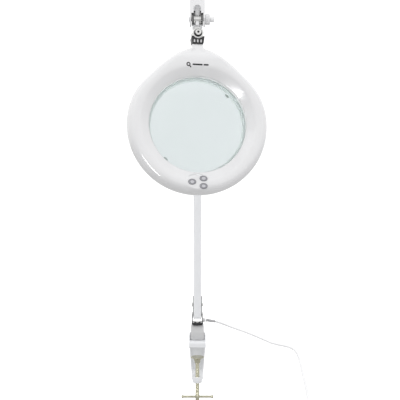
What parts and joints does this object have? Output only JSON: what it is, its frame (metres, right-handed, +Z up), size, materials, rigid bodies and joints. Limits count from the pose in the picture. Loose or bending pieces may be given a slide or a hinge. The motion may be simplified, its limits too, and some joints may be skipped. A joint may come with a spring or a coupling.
{
  "type": "magnifying lamp",
  "caption": "Ring-lit magnifying lamp with a round glass lens on a two-part parallelogram arm, a swivelling screw clamp and a mains cord.",
  "frame": {"origin": "underside of the clamp's upper jaw, which rests on the table top, on the axis of the base spigot", "axes": "+Z up along the base spigot, -Y the way the arms reach and the lens faces, +X to the right of a person facing +Y"},
  "size_m": [0.2789, 0.538, 0.7183],
  "materials": {
    "gloss_white": "glossy moulded",
    "white_paint": "satin powder coat",
    "grey_socket": "satin moulded",
    "clip_grey": "satin",
    "chrome": "polished",
    "zinc_plate": "bright zinc plated",
    "spring_steel": "drawn wire",
    "black_plastic": "fine moulded grain",
    "grey_rubber": "soft matt",
    "cord_white": "soft satin",
    "lens_glass": "polished optical",
    "frosted_plastic": "frosted translucent",
    "circuit_board": "solder mask"
  },
  "bodies": {
    "clamp": {"clamp_frame": "white_paint", "pin_socket": "grey_socket", "socket_screw": "zinc_plate"},
    "pressure_pad": {"pressure_pad": "zinc_plate"},
    "clamp_screw": {"clamp_screw": "zinc_plate"},
    "tommy_bar": {"tommy_bar": "zinc_plate"},
    "base_swivel": {"base_spigot": "chrome", "base_yoke": "chrome", "base_rivet_front": "chrome", "base_rivet_rear": "chrome", "cord_gland": "black_plastic", "strain_relief": "grey_rubber", "mains_cord": "cord_white", "cord_coil": "cord_white", "cord_tail": "cord_white", "plug_body": "cord_white", "plug_pin_left": "chrome", "plug_pin_right": "chrome"},
    "lower_arm": {"lower_arm_channel": "white_paint", "lower_arm_spring_left": "spring_steel", "lower_arm_spring_right": "spring_steel"},
    "lower_link": {"lower_arm_link": "white_paint", "lower_arm_lead": "cord_white"},
    "elbow": {"elbow_plate_left": "chrome", "elbow_plate_right": "chrome", "elbow_cover": "gloss_white", "elbow_rivet_lower_front": "chrome", "elbow_rivet_lower_rear": "chrome", "elbow_rivet_upper_rear": "chrome", "elbow_rivet_upper_front": "chrome"},
    "upper_arm": {"upper_arm_channel": "white_paint", "upper_arm_spring_left": "spring_steel", "upper_arm_spring_right": "spring_steel"},
    "upper_link": {"upper_arm_link": "white_paint", "upper_arm_lead": "cord_white"},
    "arm_end": {"arm_end_housing": "white_paint", "arm_end_rivet_top": "chrome", "arm_end_rivet_bottom": "chrome", "tilt_yoke": "chrome", "tilt_bolt": "chrome"},
    "tilt_knob": {"tilt_knob": "gloss_white"},
    "knuckle": {"tilt_knuckle": "chrome"},
    "swivel_eye": {"roll_eye": "chrome"},
    "head": {"neck_fork": "chrome", "roll_screw": "chrome", "roll_nut": "chrome", "neck_cap": "black_plastic", "head_front_shell": "gloss_white", "head_rear_shell": "gloss_white", "lens": "lens_glass", "lens_retainer": "gloss_white", "lens_clip_upper": "clip_grey", "lens_clip_lower": "clip_grey", "diffuser_ring": "frosted_plastic", "led_board": "circuit_board", "button_board": "circuit_board", "neck_screw": "zinc_plate"},
    "power_button": {"power_button": "grey_rubber"},
    "brighter_button": {"brighter_button": "grey_rubber"},
    "dimmer_button": {"dimmer_button": "grey_rubber"}
  },
  "joints": [
    {"name": "base_swivel", "type": "hinge", "parent": "clamp", "child": "base_swivel", "pos_m": [0, 0, 0.041], "axis": [0, 0, 1], "range_deg": [-175, 175]},
    {"name": "lower_arm_tilt", "type": "hinge", "parent": "base_swivel", "child": "lower_arm", "pos_m": [0, -0.0095, 0.064], "axis": [1, 0, 0], "range_deg": [-20, 65]},
    {"name": "lower_link_tilt", "type": "hinge", "parent": "base_swivel", "child": "lower_link", "pos_m": [0, 0.01127, 0.07965], "axis": [1, 0, 0], "range_deg": [-20, 65]},
    {"name": "elbow_level", "type": "hinge", "parent": "lower_arm", "child": "elbow", "pos_m": [0, -0.0095, 0.494], "axis": [1, 0, 0], "range_deg": [-65, 20]},
    {"name": "upper_arm_tilt", "type": "hinge", "parent": "elbow", "child": "upper_arm", "pos_m": [0, -0.041, 0.5425], "axis": [1, 0, 0], "range_deg": [-60, 42]},
    {"name": "upper_link_tilt", "type": "hinge", "parent": "elbow", "child": "upper_link", "pos_m": [0, -0.03427, 0.56761], "axis": [1, 0, 0], "range_deg": [-60, 42]},
    {"name": "arm_end_level", "type": "hinge", "parent": "upper_arm", "child": "arm_end", "pos_m": [0, -0.44045, 0.56343], "axis": [1, 0, 0], "range_deg": [-42, 60]},
    {"name": "head_tilt", "type": "hinge", "parent": "arm_end", "child": "knuckle", "pos_m": [0, -0.462, 0.525], "axis": [1, 0, 0], "range_deg": [-85, 20]},
    {"name": "head_swivel", "type": "hinge", "parent": "knuckle", "child": "swivel_eye", "pos_m": [0, -0.462, 0.525], "axis": [0, 0.1305, 0.9914], "range_deg": [-90, 90]},
    {"name": "head_roll", "type": "hinge", "parent": "swivel_eye", "child": "head", "pos_m": [0, -0.46461, 0.50517], "axis": [-0.1392, 0.9818, -0.1293], "range_deg": [-45, 45]},
    {"name": "tilt_knob_turn", "type": "hinge", "parent": "arm_end", "child": "tilt_knob", "pos_m": [0, -0.462, 0.525], "axis": [1, 0, 0], "range_deg": [-360, 360]},
    {"name": "power_button_press", "type": "slide", "parent": "head", "child": "power_button", "axis": [-0.1392, 0.9818, -0.1293], "range_m": [0, 0.0008], "stiffness_N_per_m": 600, "springref_m": -0.0006},
    {"name": "brighter_button_press", "type": "slide", "parent": "head", "child": "brighter_button", "axis": [-0.1392, 0.9818, -0.1293], "range_m": [0, 0.0008], "stiffness_N_per_m": 600, "springref_m": -0.0006},
    {"name": "dimmer_button_press", "type": "slide", "parent": "head", "child": "dimmer_button", "axis": [-0.1392, 0.9818, -0.1293], "range_m": [0, 0.0008], "stiffness_N_per_m": 600, "springref_m": -0.0006},
    {"name": "pad_lift", "type": "slide", "parent": "clamp", "child": "pressure_pad", "axis": [0, 0, 1], "range_m": [-0.025, 0.014]},
    {"name": "clamp_screw_turn", "type": "hinge", "parent": "pressure_pad", "child": "clamp_screw", "pos_m": [0, -0.01, -0.05], "axis": [0, 0, 1], "range_deg": [-7180, 4020]},
    {"name": "tommy_bar_slide", "type": "slide", "parent": "clamp_screw", "child": "tommy_bar", "axis": [1, 0, 0], "range_m": [-0.024, 0.024]}
  ],
  "couplings": [
    {"joint": "lower_link_tilt", "follows": "lower_arm_tilt", "ratio": 1},
    {"joint": "elbow_level", "follows": "lower_arm_tilt", "ratio": -1},
    {"joint": "upper_link_tilt", "follows": "upper_arm_tilt", "ratio": 1},
    {"joint": "arm_end_level", "follows": "upper_arm_tilt", "ratio": -1},
    {"joint": "pad_lift", "follows": "clamp_screw_turn", "m_per_rad": 0.00019894}
  ]
}
